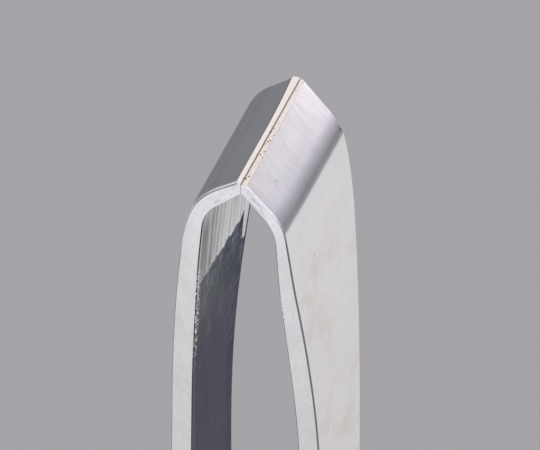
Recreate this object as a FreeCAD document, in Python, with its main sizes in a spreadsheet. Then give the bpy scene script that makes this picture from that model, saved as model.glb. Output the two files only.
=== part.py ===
import FreeCAD, Part
import Sketcher
import math
import os

# Slant tweezers, closed, standing upright on the heel with the jaws at the top.
# X is the squeeze direction, Y the width of the blades, +Z runs from heel to tips.
# The origin is the middle of the heel end. All lengths in mm, angles in degrees.

DOC = FreeCAD.newDocument("slant_tweezers")

# ---------------------------------------------------------------- dimensions
ROWS = [
    # overall
    ("slant_angle", 18.75, "slant of the tip line and of every bend near the jaws"),
    ("jaw_width", 7.8, "blade width at the jaws"),
    ("blade_thick", 1.28, "strip thickness"),
    ("tip_line_x", 0.22, "offset of the tip line from the centre plane"),
    ("tip_gap", 0.02, "air left between the two ground faces when closed"),
    # left blade, outer face
    ("left_tip_z", 93.676, "height of the ground land on the centre plane"),
    ("left_land", 0.27, "width of the ground land"),
    ("left_jaw_angle", 58.1, "outer face of the jaw from the vertical"),
    ("left_bend_radius", 4.085, "outer bend radius"),
    ("left_arm_angle", 8.31, "outer face just below the bend"),
    ("left_bow_radius", 120.0, "outer bow radius"),
    ("left_bow_x", 4.80, "largest distance of the outer face from the centre plane"),
    ("left_bow_z", 70.4, "where the outer face turns vertical"),
    # left blade, inner face
    ("left_contact_z", 92.90, "lower edge of the contact face"),
    ("left_inner_jaw_angle", 52.3, "ground inner face of the jaw"),
    ("left_inner_bend_radius", 2.236, "inner bend radius"),
    ("left_inner_arm_angle", 5.72, "inner face just below the bend"),
    ("left_inner_bow_radius", 118.0, "inner bow radius"),
    # right blade, outer face
    ("right_tip_z", 93.516, "height of the ground land on the centre plane"),
    ("right_land", 0.29, "width of the ground land"),
    ("right_jaw_angle", 49.5, "outer face of the jaw from the vertical"),
    ("right_bend_radius", 2.475, "outer bend radius"),
    ("right_arm_angle", 10.166, "outer face just below the bend"),
    ("right_bow_radius", 92.0, "outer bow radius"),
    ("right_bow_x", 4.44, "largest distance of the outer face from the centre plane"),
    ("right_bow_z", 74.4, "where the outer face turns vertical"),
    # right blade, inner face
    ("right_contact_z", 92.971, "lower edge of the contact face"),
    ("right_inner_jaw_angle", 47.6, "ground inner face of the jaw"),
    ("right_inner_bend_radius", 2.404, "inner bend radius"),
    ("right_inner_arm_angle", 3.85, "inner face just below the bend"),
    ("right_inner_bow_radius", 109.0, "inner bow radius"),
    # lower half of both blades
    ("split_z", 66.4, "lower end of the slanted part on the centre plane"),
    ("rear_top_z", 68.4, "upper end of the straight part"),
    ("sweep_angle", 4.9, "slope of the blades between bow and tail"),
    ("belly_radius", 160.0, "outer radius from the bow into the slope"),
    ("tail_radius", 60.0, "outer radius from the slope into the tail"),
    ("tail_top_z", 15.0, "upper end of the flat tail where the blades lie together"),
    ("weld_height", 1.0, "height of the welded heel seam"),
    # side outline
    ("near_shoulder_z", 87.55, "where the near edge starts to narrow"),
    ("shoulder_rise", 2.65, "how much higher the far shoulder sits"),
    ("shoulder_radius", 21.0, "radius from the jaw edge into the taper"),
    ("taper_angle", 6.84, "slope of the taper"),
    ("near_waist_radius", 60.0, "radius from the near taper into the waist"),
    ("near_waist_half", 2.45, "half width at the waist, near side"),
    ("far_waist_radius", 78.0, "radius from the far taper into the waist"),
    ("far_waist_half", 2.86, "half width at the waist, far side"),
    ("heel_half", 3.9, "half width at the heel"),
    ("heel_wide_z", 6.5, "height of the widest point of the heel"),
    ("heel_corner", 3.0, "corner radius of the heel end"),
]
sheet = DOC.addObject("Spreadsheet::Sheet", "Dimensions")
for row, (alias, value, note) in enumerate(ROWS, start=1):
    sheet.set("A%d" % row, alias)
    sheet.set("B%d" % row, str(value))
    sheet.setAlias("B%d" % row, alias)
    sheet.set("C%d" % row, note)
DOC.recompute()


def dim(alias):
    return float(getattr(sheet, alias))


V = FreeCAD.Vector


# ------------------------------------------------------------ sketch helpers
def plane(body, role):
    for item in body.Origin.OriginFeatures:
        if item.Role == role:
            return item
    raise RuntimeError("no plane " + role)


def new_sketch(body, name, role):
    sk = body.newObject("Sketcher::SketchObject", name)
    sk.AttachmentSupport = [(plane(body, role), "")]
    sk.MapMode = "FlatFace"
    return sk


def line(sk, a, b):
    return sk.addGeometry(Part.LineSegment(V(a[0], a[1], 0), V(b[0], b[1], 0)), False)


def arc(sk, centre, radius, a, b):
    """Arc of a circle whose first point is a and last point is b, counter-clockwise."""
    a0 = math.atan2(a[1] - centre[1], a[0] - centre[0])
    a1 = math.atan2(b[1] - centre[1], b[0] - centre[0])
    while a1 < a0:
        a1 += 2 * math.pi
    circle = Part.Circle(V(centre[0], centre[1], 0), V(0, 0, 1), radius)
    return sk.addGeometry(Part.ArcOfCircle(circle, a0, a1), False)


def tie(sk, name, kind, *args):
    """Datum constraint with a name; args end with (value, expression)."""
    value, expression = args[-2:]
    index = sk.addConstraint(Sketcher.Constraint(kind, *args[:-2], value))
    sk.renameConstraint(index, name)
    sk.setExpression("Constraints." + name, expression)
    return index


def jaw_chain(x0, z0, jaw, rb, arm, rd, bx, bz):
    """Points of line, bend, line, bow for a blade face on the +X side."""
    ja, aa = math.radians(jaw), math.radians(arm)
    da = (math.sin(ja), -math.cos(ja))
    dc = (math.sin(aa), -math.cos(aa))
    ds = (bx - rd * (1 - math.cos(aa)), bz + rd * math.sin(aa))
    det = da[0] * dc[1] - da[1] * dc[0]
    wx, wz = ds[0] - x0, ds[1] - z0
    u = (wx * dc[1] - wz * dc[0]) / det
    corner = (x0 + u * da[0], z0 + u * da[1])
    tl = rb * math.tan((ja - aa) / 2)
    a1 = (corner[0] - tl * da[0], corner[1] - tl * da[1])
    b1 = (corner[0] + tl * dc[0], corner[1] + tl * dc[1])
    cb = (a1[0] - rb * math.cos(ja), a1[1] - rb * math.sin(ja))
    return a1, b1, cb, ds, (bx - rd, bz), (bx, bz)


# -------------------------------------------------------------- the two blades
def front_sketch(body, side):
    """Profile of the jaw, bend and upper arm; sign is -1 on the left."""
    sg = -1.0 if side == "left" else 1.0
    tip = dim("tip_line_x") + (dim("tip_gap") if side == "right" else 0.0)
    tip_expr = "Dimensions.tip_line_x" + (" + Dimensions.tip_gap" if side == "right" else "")
    zt, zc = dim(side + "_tip_z"), dim(side + "_contact_z")
    land = dim(side + "_land")
    bx, bz = dim(side + "_bow_x"), dim(side + "_bow_z")
    th, zs = dim("blade_thick"), dim("split_z")
    lx = tip + sg * land

    def m(p):
        return (sg * p[0], p[1])

    oa, ob, occ, od, occ2, oe = [m(p) for p in jaw_chain(
        sg * lx, zt, dim(side + "_jaw_angle"), dim(side + "_bend_radius"),
        dim(side + "_arm_angle"), dim(side + "_bow_radius"), bx, bz)]
    ia, ib, icc, idd, icc2, ie = [m(p) for p in jaw_chain(
        sg * tip, zc, dim(side + "_inner_jaw_angle"), dim(side + "_inner_bend_radius"),
        dim(side + "_inner_arm_angle"), dim(side + "_inner_bow_radius"), bx - th, bz)]
    sk = new_sketch(body, side + "_front_profile", "XZ_Plane")
    flip = sg < 0

    def turn(c, r, upper, lower):
        # on the right the arc runs counter-clockwise from its lower end
        if flip:
            return arc(sk, c, r, upper, lower), 1, 2
        return arc(sk, c, r, lower, upper), 2, 1

    g_land = line(sk, (tip, zt), (lx, zt))
    g_oj = line(sk, (lx, zt), oa)
    g_ob, obs, obe = turn(occ, dim(side + "_bend_radius"), oa, ob)
    g_ol = line(sk, ob, od)
    g_od, ods, ode = turn(occ2, dim(side + "_bow_radius"), od, oe)
    g_ov = line(sk, oe, (sg * bx, zs))
    g_end = line(sk, (sg * bx, zs), (sg * (bx - th), zs))
    g_iv = line(sk, (sg * (bx - th), zs), ie)
    g_id, ids, ide = turn(icc2, dim(side + "_inner_bow_radius"), idd, ie)
    g_il = line(sk, idd, ib)
    g_ib, ibs, ibe = turn(icc, dim(side + "_inner_bend_radius"), ia, ib)
    g_ij = line(sk, ia, (tip, zc))
    g_con = line(sk, (tip, zc), (tip, zt))

    C = Sketcher.Constraint
    cons = [
        C("Coincident", g_con, 2, g_land, 1), C("Horizontal", g_land), C("Vertical", g_con),
        C("Coincident", g_land, 2, g_oj, 1),
        C("Tangent", g_oj, 2, g_ob, obs), C("Tangent", g_ob, obe, g_ol, 1),
        C("Tangent", g_ol, 2, g_od, ods), C("Tangent", g_od, ode, g_ov, 1), C("Vertical", g_ov),
        C("Coincident", g_ov, 2, g_end, 1), C("Horizontal", g_end), C("Coincident", g_end, 2, g_iv, 1),
        C("Vertical", g_iv), C("Tangent", g_iv, 2, g_id, ide), C("Tangent", g_id, ids, g_il, 1),
        C("Tangent", g_il, 2, g_ib, ibe), C("Tangent", g_ib, ibs, g_ij, 1),
        C("Coincident", g_ij, 2, g_con, 1),
    ]
    for c in cons:
        sk.addConstraint(c)
    S = "Dimensions." + side
    tie(sk, "tip_x", "DistanceX", -1, 1, g_land, 1, tip, tip_expr)
    tie(sk, "tip_z", "DistanceY", -1, 1, g_land, 1, zt, S + "_tip_z")
    if flip:
        tie(sk, "land_width", "DistanceX", g_land, 2, g_land, 1, land, S + "_land")
    else:
        tie(sk, "land_width", "DistanceX", g_land, 1, g_land, 2, land, S + "_land")
    tie(sk, "contact_z", "DistanceY", -1, 1, g_con, 1, zc, S + "_contact_z")

    def jaw(name, geo, start, alias):
        # angle of the jaw face, measured from the horizontal axis along the line
        a = math.radians(dim(side + alias))
        if start == 1:      # line runs from tip outwards
            value = -math.pi / 2 + a if not flip else -math.pi / 2 - a
            expr = "-90 deg + %s%s * 1 deg" % (S, alias) if not flip else "-90 deg - %s%s * 1 deg" % (S, alias)
        else:               # line runs towards the tip
            value = math.pi / 2 + a if not flip else math.pi / 2 - a
            expr = "90 deg + %s%s * 1 deg" % (S, alias) if not flip else "90 deg - %s%s * 1 deg" % (S, alias)
        tie(sk, name, "Angle", geo, value, expr)

    jaw("jaw_angle", g_oj, 1, "_jaw_angle")
    jaw("arm_angle", g_ol, 1, "_arm_angle")
    jaw("inner_arm_angle", g_il, 2, "_inner_arm_angle")
    jaw("inner_jaw_angle", g_ij, 2, "_inner_jaw_angle")
    tie(sk, "bend_radius", "Radius", g_ob, dim(side + "_bend_radius"), S + "_bend_radius")
    tie(sk, "bow_radius", "Radius", g_od, dim(side + "_bow_radius"), S + "_bow_radius")
    tie(sk, "inner_bend_radius", "Radius", g_ib, dim(side + "_inner_bend_radius"), S + "_inner_bend_radius")
    tie(sk, "inner_bow_radius", "Radius", g_id, dim(side + "_inner_bow_radius"), S + "_inner_bow_radius")
    neg = "-" if flip else ""
    tie(sk, "bow_x", "DistanceX", -1, 1, g_ov, 1, sg * bx, "%s%s_bow_x" % (neg, S))
    tie(sk, "bow_z", "DistanceY", -1, 1, g_ov, 1, bz, S + "_bow_z")
    tie(sk, "inner_bow_z", "DistanceY", -1, 1, g_iv, 2, bz, S + "_bow_z")
    if flip:
        tie(sk, "thickness", "DistanceX", g_end, 1, g_end, 2, th, "Dimensions.blade_thick")
    else:
        tie(sk, "thickness", "DistanceX", g_end, 2, g_end, 1, th, "Dimensions.blade_thick")
    tie(sk, "split_z", "DistanceY", -1, 1, g_end, 1, zs, "Dimensions.split_z")
    return sk


def rear_sketch(body, side):
    """Profile of the lower arm and the flat tail that lies on the other blade."""
    sg = -1.0 if side == "left" else 1.0
    flip = sg < 0
    bx, th = dim(side + "_bow_x"), dim("blade_thick")
    zt, zw, z0 = dim("rear_top_z"), dim("tail_top_z"), dim("weld_height")
    ph = math.radians(dim("sweep_angle"))
    rf, rh = dim("belly_radius"), dim("tail_radius")
    run = (bx - th) - (rf + rh) * (1 - math.cos(ph))
    zb = zw + (rf + rh) * math.sin(ph) + run / math.tan(ph)

    def chain(off):
        """off is 0 on the outer face and the thickness on the inner face."""
        f, h = rf - off, rh + off
        x1 = bx - off
        p1 = (x1, zb)
        p2 = (x1 - f * (1 - math.cos(ph)), zb - f * math.sin(ph))
        xt = th - off
        p4 = (xt, zw)
        p3 = (xt + h * (1 - math.cos(ph)), zw + h * math.sin(ph))
        cf = (bx - rf, zb)
        ch = (th + rh, zw)
        return [(sg * p[0], p[1]) for p in (p1, p2, p3, p4, cf, ch)] + [f, h]

    o1, o2, o3, o4, ocf, och, orf, orh = chain(0.0)
    i1, i2, i3, i4, icf, ich, irf, irh = chain(th)
    sk = new_sketch(body, side + "_rear_profile", "XZ_Plane")

    def convex(c, r, upper, lower):
        if flip:
            return arc(sk, c, r, upper, lower), 1, 2
        return arc(sk, c, r, lower, upper), 2, 1

    def hollow(c, r, upper, lower):
        if flip:
            return arc(sk, c, r, lower, upper), 2, 1
        return arc(sk, c, r, upper, lower), 1, 2

    g_top = line(sk, (sg * (bx - th), zt), (sg * bx, zt))
    g_ov = line(sk, (sg * bx, zt), o1)
    g_of, ofs, ofe = convex(ocf, orf, o1, o2)
    g_ol = line(sk, o2, o3)
    g_oh, ohs, ohe = hollow(och, orh, o3, o4)
    g_ot = line(sk, o4, (o4[0], z0))
    g_bot = line(sk, (o4[0], z0), (i4[0], z0))
    g_it = line(sk, (i4[0], z0), i4)
    g_ih, ihs, ihe = hollow(ich, irh, i3, i4)
    g_il = line(sk, i3, i2)
    g_if, ifs, ife = convex(icf, irf, i1, i2)
    g_iv = line(sk, i1, (sg * (bx - th), zt))
    C = Sketcher.Constraint
    for c in [
        C("Coincident", g_top, 2, g_ov, 1), C("Horizontal", g_top), C("Vertical", g_ov),
        C("Tangent", g_ov, 2, g_of, ofs), C("Tangent", g_of, ofe, g_ol, 1),
        C("Tangent", g_ol, 2, g_oh, ohs), C("Tangent", g_oh, ohe, g_ot, 1), C("Vertical", g_ot),
        C("Coincident", g_ot, 2, g_bot, 1), C("Horizontal", g_bot), C("Coincident", g_bot, 2, g_it, 1),
        C("Vertical", g_it), C("Tangent", g_it, 2, g_ih, ihe), C("Tangent", g_ih, ihs, g_il, 1),
        C("Tangent", g_il, 2, g_if, ife), C("Tangent", g_if, ifs, g_iv, 1), C("Vertical", g_iv),
        C("Coincident", g_iv, 2, g_top, 1), C("Parallel", g_ol, g_il),
    ]:
        sk.addConstraint(c)
    S, D = "Dimensions." + side, "Dimensions."
    neg = "-" if flip else ""
    tie(sk, "bow_x", "DistanceX", -1, 1, g_ov, 1, sg * bx, "%s%s_bow_x" % (neg, S))
    tie(sk, "top_z", "DistanceY", -1, 1, g_ov, 1, zt, D + "rear_top_z")
    tie(sk, "tail_x", "DistanceX", -1, 1, g_ot, 1, sg * th, neg + D + "blade_thick")
    tie(sk, "tail_top", "DistanceY", -1, 1, g_ot, 1, zw, D + "tail_top_z")
    tie(sk, "heel_z", "DistanceY", -1, 1, g_ot, 2, z0, D + "weld_height")
    angle = -math.pi / 2 - ph if not flip else -math.pi / 2 + ph
    expr = "-90 deg - Dimensions.sweep_angle * 1 deg" if not flip else "-90 deg + Dimensions.sweep_angle * 1 deg"
    tie(sk, "sweep", "Angle", g_ol, angle, expr)
    tie(sk, "belly", "Radius", g_of, orf, D + "belly_radius")
    tie(sk, "tail", "Radius", g_oh, orh, D + "tail_radius")
    if flip:
        tie(sk, "thickness", "DistanceX", g_top, 2, g_top, 1, th, D + "blade_thick")
    else:
        tie(sk, "thickness", "DistanceX", g_top, 1, g_top, 2, th, D + "blade_thick")
    tie(sk, "inner_x", "DistanceX", -1, 1, g_it, 2, 0.0, D + "blade_thick - " + D + "blade_thick")
    tie(sk, "inner_top", "DistanceY", -1, 1, g_it, 2, zw, D + "tail_top_z")
    tie(sk, "inner_belly", "Radius", g_if, irf, D + "belly_radius - " + D + "blade_thick")
    tie(sk, "inner_tail", "Radius", g_ih, irh, D + "tail_radius + " + D + "blade_thick")
    return sk


def outline_points():
    """Half outline of the blade seen from the side, for the near and far edge."""
    w = dim("jaw_width") / 2
    ta, rs = math.radians(dim("taper_angle")), dim("shoulder_radius")

    def edge(z1, tag):
        wh, rw = dim(tag + "_waist_half"), dim(tag + "_waist_radius")
        drop = (w - wh) - (rs + rw) * (1 - math.cos(ta))
        length = drop / math.tan(ta)
        p1 = (w, z1)
        p2 = (w - rs * (1 - math.cos(ta)), z1 - rs * math.sin(ta))
        p3 = (p2[0] - drop, p2[1] - length)
        p4 = (wh, p3[1] - rw * math.sin(ta))
        return p1, p2, p3, p4, (w - rs, z1), (wh + rw, p4[1])
    return edge


def outline_sketch(body, name):
    """Ring between a large rectangle and the blade outline, so that a pocket leaves the blade."""
    sk = new_sketch(body, name, "YZ_Plane")
    edge = outline_points()
    w, hh, hz, rc = dim("jaw_width") / 2, dim("heel_half"), dim("heel_wide_z"), dim("heel_corner")
    top = dim("left_tip_z") + 4.0
    rs = dim("shoulder_radius")
    ends = []
    D = "Dimensions."
    C = Sketcher.Constraint
    for sg, z1, tag in ((-1.0, dim("near_shoulder_z"), "near"),
                        (1.0, dim("near_shoulder_z") + dim("shoulder_rise"), "far")):
        p1, p2, p3, p4, cs, cw = [(sg * p[0], p[1]) for p in edge(z1, tag)]
        rw = dim(tag + "_waist_radius")
        flip = sg < 0
        # flank from the waist to the heel: one arc with a vertical tangent at the waist
        dy, dz = hh - abs(p4[0]), p4[1] - hz
        rf = (dy * dy + dz * dz) / (2 * dy)
        cf = (sg * (abs(p4[0]) + rf), p4[1])
        p5 = (sg * hh, hz)
        g_v = line(sk, (sg * w, top), p1)
        if flip:
            g_s, ss, se = arc(sk, cs, rs, p1, p2), 1, 2
            g_w, ws, we = arc(sk, cw, rw, p4, p3), 2, 1
            g_f, fs, fe = arc(sk, cf, rf, p5, p4), 2, 1
        else:
            g_s, ss, se = arc(sk, cs, rs, p2, p1), 2, 1
            g_w, ws, we = arc(sk, cw, rw, p3, p4), 1, 2
            g_f, fs, fe = arc(sk, cf, rf, p4, p5), 1, 2
        g_t = line(sk, p2, p3)
        # heel corner: vertical line then a quarter arc
        g_h = line(sk, p5, (sg * hh, rc))
        if flip:
            g_c, ccs, cce = arc(sk, (sg * (hh - rc), rc), rc, (sg * hh, rc), (sg * (hh - rc), 0.0)), 1, 2
        else:
            g_c, ccs, cce = arc(sk, (sg * (hh - rc), rc), rc, (sg * (hh - rc), 0.0), (sg * hh, rc)), 2, 1
        for c in [
            C("Vertical", g_v), C("Tangent", g_v, 2, g_s, ss), C("Tangent", g_s, se, g_t, 1),
            C("Tangent", g_t, 2, g_w, ws), C("Tangent", g_w, we, g_f, fs),
            C("Coincident", g_f, fe, g_h, 1), C("Vertical", g_h), C("Tangent", g_h, 2, g_c, ccs),
        ]:
            sk.addConstraint(c)
        neg = "-" if flip else ""
        tie(sk, tag + "_half", "DistanceX", -1, 1, g_v, 1, sg * w, neg + D + "jaw_width / 2")
        rise = "" if flip else " + Dimensions.shoulder_rise"
        tie(sk, tag + "_shoulder", "DistanceY", -1, 1, g_v, 2, z1, D + "near_shoulder_z" + rise)
        tie(sk, tag + "_shoulder_r", "Radius", g_s, rs, D + "shoulder_radius")
        angle = -math.pi / 2 - math.radians(dim("taper_angle")) if not flip else -math.pi / 2 + math.radians(dim("taper_angle"))
        expr = "-90 deg - Dimensions.taper_angle * 1 deg" if not flip else "-90 deg + Dimensions.taper_angle * 1 deg"
        tie(sk, tag + "_taper", "Angle", g_t, angle, expr)
        tie(sk, tag + "_waist_r", "Radius", g_w, rw, D + tag + "_waist_radius")
        tie(sk, tag + "_waist", "DistanceX", -1, 1, g_f, fs, sg * dim(tag + "_waist_half"), neg + D + tag + "_waist_half")
        sk.addConstraint(C("Horizontal", g_f, 3, g_f, fs))
        tie(sk, tag + "_heel", "DistanceX", -1, 1, g_h, 1, sg * hh, neg + D + "heel_half")
        tie(sk, tag + "_heel_z", "DistanceY", -1, 1, g_h, 1, hz, D + "heel_wide_z")
        tie(sk, tag + "_corner", "Radius", g_c, rc, D + "heel_corner")
        ends.append((g_v, g_c, cce))
    (nv, nc, nce), (fv, fc, fce) = ends
    g_top = line(sk, (-w, top), (w, top))
    g_bot = line(sk, (-(hh - rc), 0.0), (hh - rc, 0.0))
    for c in [
        C("Coincident", g_top, 1, nv, 1), C("Coincident", g_top, 2, fv, 1), C("Horizontal", g_top),
        C("Tangent", g_bot, 1, nc, nce), C("Tangent", g_bot, 2, fc, fce),
        C("PointOnObject", g_bot, 1, -1), C("Horizontal", g_bot),
    ]:
        sk.addConstraint(c)
    tie(sk, "top_z", "DistanceY", -1, 1, nv, 1, top, D + "left_tip_z + 4")
    # outer rectangle
    r, zl, zu = 8.0, -4.0, top + 4.0
    a = line(sk, (-r, zl), (r, zl))
    b = line(sk, (r, zl), (r, zu))
    c_ = line(sk, (r, zu), (-r, zu))
    d = line(sk, (-r, zu), (-r, zl))
    for c in [
        C("Coincident", a, 2, b, 1), C("Coincident", b, 2, c_, 1), C("Coincident", c_, 2, d, 1),
        C("Coincident", d, 2, a, 1), C("Horizontal", a), C("Vertical", b), C("Horizontal", c_), C("Vertical", d),
    ]:
        sk.addConstraint(c)
    tie(sk, "frame_left", "DistanceX", -1, 1, a, 1, -r, "-" + D + "jaw_width - 0.2")
    tie(sk, "frame_right", "DistanceX", -1, 1, a, 2, r, D + "jaw_width + 0.2")
    tie(sk, "frame_low", "DistanceY", -1, 1, a, 1, zl, "-4 * " + D + "weld_height")
    tie(sk, "frame_high", "DistanceY", -1, 1, c_, 1, zu, D + "left_tip_z + 8")
    return sk


def make_blade(side):
    body = DOC.addObject("PartDesign::Body", side + "_arm")
    body.Label = side + "_arm"
    body.Placement = FreeCAD.Placement()
    front = front_sketch(body, side)
    DOC.recompute()
    pad = body.newObject("PartDesign::Pad", side + "_jaw_and_arm")
    pad.Profile = front
    pad.SideType = "Symmetric"
    pad.UseCustomVector = True
    pad.Direction = V(0, 1, math.tan(math.radians(dim("slant_angle"))))
    pad.setExpression("Direction.z", "tan(Dimensions.slant_angle * 1 deg)")
    pad.AlongSketchNormal = True
    pad.setExpression("Length", "Dimensions.jaw_width")
    DOC.recompute()
    rear = rear_sketch(body, side)
    DOC.recompute()
    pad2 = body.newObject("PartDesign::Pad", side + "_lower_arm")
    pad2.Profile = rear
    pad2.SideType = "Symmetric"
    pad2.setExpression("Length", "Dimensions.jaw_width + 2")
    DOC.recompute()
    full = pad2.Shape.Volume
    outline = outline_sketch(body, side + "_outline")
    DOC.recompute()
    cut = body.newObject("PartDesign::Pocket", side + "_side_cut")
    cut.Profile = outline
    cut.Type = "ThroughAll"
    cut.SideType = "Symmetric"
    DOC.recompute()
    assert cut.Shape.Volume < full * 0.95, "outline pocket removed nothing"
    return body


left = make_blade("left")
right = make_blade("right")


# ------------------------------------------------------------- the heel weld
def make_weld():
    body = DOC.addObject("PartDesign::Body", "heel_weld")
    body.Label = "heel_weld"
    body.Placement = FreeCAD.Placement()
    sk = new_sketch(body, "weld_outline", "YZ_Plane")
    hh, rc, zw = dim("heel_half"), dim("heel_corner"), dim("weld_height")
    yw = hh - rc + math.sqrt(rc * rc - (rc - zw) ** 2)
    b = line(sk, (-(hh - rc), 0.0), (hh - rc, 0.0))
    r = arc(sk, (hh - rc, rc), rc, (hh - rc, 0.0), (yw, zw))
    t = line(sk, (yw, zw), (-yw, zw))
    l = arc(sk, (-(hh - rc), rc), rc, (-yw, zw), (-(hh - rc), 0.0))
    C = Sketcher.Constraint
    for c in [
        C("Tangent", b, 2, r, 1), C("Coincident", r, 2, t, 1), C("Horizontal", t),
        C("Coincident", t, 2, l, 1), C("Tangent", l, 2, b, 1),
        C("PointOnObject", b, 1, -1), C("Symmetric", b, 1, b, 2, -1, 1),
    ]:
        sk.addConstraint(c)
    D = "Dimensions."
    tie(sk, "flat", "DistanceX", b, 1, b, 2, 2 * (hh - rc), "2 * (" + D + "heel_half - " + D + "heel_corner)")
    tie(sk, "corner_right", "Radius", r, rc, D + "heel_corner")
    tie(sk, "corner_left", "Radius", l, rc, D + "heel_corner")
    tie(sk, "height", "DistanceY", -1, 1, t, 1, zw, D + "weld_height")
    DOC.recompute()
    pad = body.newObject("PartDesign::Pad", "weld_seam")
    pad.Profile = sk
    pad.SideType = "Symmetric"
    pad.setExpression("Length", "2 * Dimensions.blade_thick")
    DOC.recompute()
    return body


weld = make_weld()
DOC.recompute()

# --------------------------------------------------------------- checks, files
for obj in DOC.Objects:
    if any(s in ("Invalid", "Error") for s in obj.State):
        raise RuntimeError("%s: %s" % (obj.Name, obj.State))
for body in (left, right, weld):
    shape = body.Shape
    if shape.isNull() or not shape.isValid() or len(shape.Solids) != 1:
        raise RuntimeError("bad solid in " + body.Label)

os.makedirs("parts", exist_ok=True)
for body in (left, right, weld):
    body.Shape.exportStep("parts/%s.step" % body.Label)
    b = body.Shape.BoundBox
    print("%-10s volume %.1f mm3  X %.2f..%.2f  Y %.2f..%.2f  Z %.2f..%.2f" % (
        body.Label, body.Shape.Volume, b.XMin, b.XMax, b.YMin, b.YMax, b.ZMin, b.ZMax))
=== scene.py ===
import math
import random

import bpy
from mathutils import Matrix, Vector, noise


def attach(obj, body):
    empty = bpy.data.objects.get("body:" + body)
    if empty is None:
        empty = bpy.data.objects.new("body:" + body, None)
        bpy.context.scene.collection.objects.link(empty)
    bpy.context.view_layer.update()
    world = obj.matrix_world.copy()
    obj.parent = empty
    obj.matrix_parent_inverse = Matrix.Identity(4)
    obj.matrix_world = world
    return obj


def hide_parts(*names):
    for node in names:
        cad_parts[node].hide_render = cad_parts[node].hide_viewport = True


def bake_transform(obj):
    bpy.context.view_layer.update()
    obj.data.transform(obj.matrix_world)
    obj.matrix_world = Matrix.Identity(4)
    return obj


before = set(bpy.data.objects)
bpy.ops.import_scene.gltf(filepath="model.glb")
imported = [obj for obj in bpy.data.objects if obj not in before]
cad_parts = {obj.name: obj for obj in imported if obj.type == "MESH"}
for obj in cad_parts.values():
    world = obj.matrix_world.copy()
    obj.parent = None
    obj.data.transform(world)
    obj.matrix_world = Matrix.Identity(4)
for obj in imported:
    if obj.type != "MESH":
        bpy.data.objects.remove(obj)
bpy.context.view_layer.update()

MM = 0.001

# ----------------------------------------------------------------------------
# Sizes in mm, the same as the CAD part's
# ----------------------------------------------------------------------------
TAU = math.tan(math.radians(18.75))
THICK = 1.28
JAW_W = 7.8
SIDES = {
    "left": dict(sg=-1.0, tip=-0.22, land=0.355, skew=0.030, tip_z=93.676, con_z=92.90,
                 ja=58.1, rb=4.085, aa=8.31, rd=120.0, bx=4.80, bz=70.4,
                 ija=52.3, irb=2.236, iaa=5.72, ird=118.0),
    "right": dict(sg=1.0, tip=0.24, land=0.33, skew=-0.010, tip_z=93.516, con_z=92.971,
                  ja=49.5, rb=2.475, aa=10.166, rd=92.0, bx=4.44, bz=74.4,
                  ija=47.6, irb=2.404, iaa=3.85, ird=109.0),
}
SWEEP, BELLY, TAIL, TAIL_Z, WELD = math.radians(4.9), 160.0, 60.0, 15.0, 1.0
NEAR_Z, RISE = 87.55, 2.65
R_SH, TAPER = 21.0, math.radians(6.84)
WAISTS = {-1: (60.0, 2.45), 1: (78.0, 2.86)}    # radius and half width, near and far side
HEEL, HEEL_Z, HEEL_R = 3.9, 6.5, 3.0


def arc_pts(c, r, a0, a1, n):
    """n steps of an arc, without its first point."""
    return [(c[0] + r * math.cos(a0 + (a1 - a0) * k / n), c[1] + r * math.sin(a0 + (a1 - a0) * k / n))
            for k in range(1, n + 1)]


def line_pts(a, b, n):
    return [(a[0] + (b[0] - a[0]) * k / n, a[1] + (b[1] - a[1]) * k / n) for k in range(1, n + 1)]


def jaw_chain(x0, z0, ja, rb, aa, rd, bx, bz):
    ja, aa = math.radians(ja), math.radians(aa)
    da, dc = (math.sin(ja), -math.cos(ja)), (math.sin(aa), -math.cos(aa))
    ds = (bx - rd * (1 - math.cos(aa)), bz + rd * math.sin(aa))
    det = da[0] * dc[1] - da[1] * dc[0]
    wx, wz = ds[0] - x0, ds[1] - z0
    u = (wx * dc[1] - wz * dc[0]) / det
    cor = (x0 + u * da[0], z0 + u * da[1])
    tl = rb * math.tan((ja - aa) / 2)
    a1 = (cor[0] - tl * da[0], cor[1] - tl * da[1])
    b1 = (cor[0] + tl * dc[0], cor[1] + tl * dc[1])
    cb = (a1[0] - rb * math.cos(ja), a1[1] - rb * math.sin(ja))
    return a1, b1, cb, ds, ja, aa


def face_chain(p, inner):
    """The outer or inner face as a dense line from the tip corner down to the heel, on the +X side."""
    if inner:
        x0, z0, off = p["tip"], p["con_z"], THICK
        ja, rb, aa, rd = p["ija"], p["irb"], p["iaa"], p["ird"]
    else:
        x0, z0, off = p["tip"] + p["land"], p["tip_z"], 0.0
        ja, rb, aa, rd = p["ja"], p["rb"], p["aa"], p["rd"]
    bx, bz = p["bx"] - off, p["bz"]
    a1, b1, cb, ds, jar, aar = jaw_chain(x0, z0, ja, rb, aa, rd, bx, bz)
    pts = [(x0, z0)]
    pts += line_pts(pts[-1], a1, 40)
    pts += arc_pts(cb, rb, jar, aar, 80)
    pts += line_pts(b1, ds, 60)
    pts += arc_pts((bx - rd, bz), rd, aar, 0.0, 160)
    rf, rh = BELLY - off, TAIL + off
    run = (p["bx"] - THICK) - (BELLY + TAIL) * (1 - math.cos(SWEEP))
    zb = TAIL_Z + (BELLY + TAIL) * math.sin(SWEEP) + run / math.tan(SWEEP)
    xt = THICK - off
    pts += line_pts((bx, bz), (bx, zb), 40)
    pts += arc_pts((bx - rf, zb), rf, 0.0, -SWEEP, 120)
    p3 = (xt + rh * (1 - math.cos(SWEEP)), TAIL_Z + rh * math.sin(SWEEP))
    pts += line_pts(pts[-1], p3, 60)
    pts += arc_pts((xt + rh, TAIL_Z), rh, math.pi - SWEEP, math.pi, 60)
    pts += line_pts((xt, TAIL_Z), (xt, WELD), 60)
    return pts, zb, b1[1]


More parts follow.
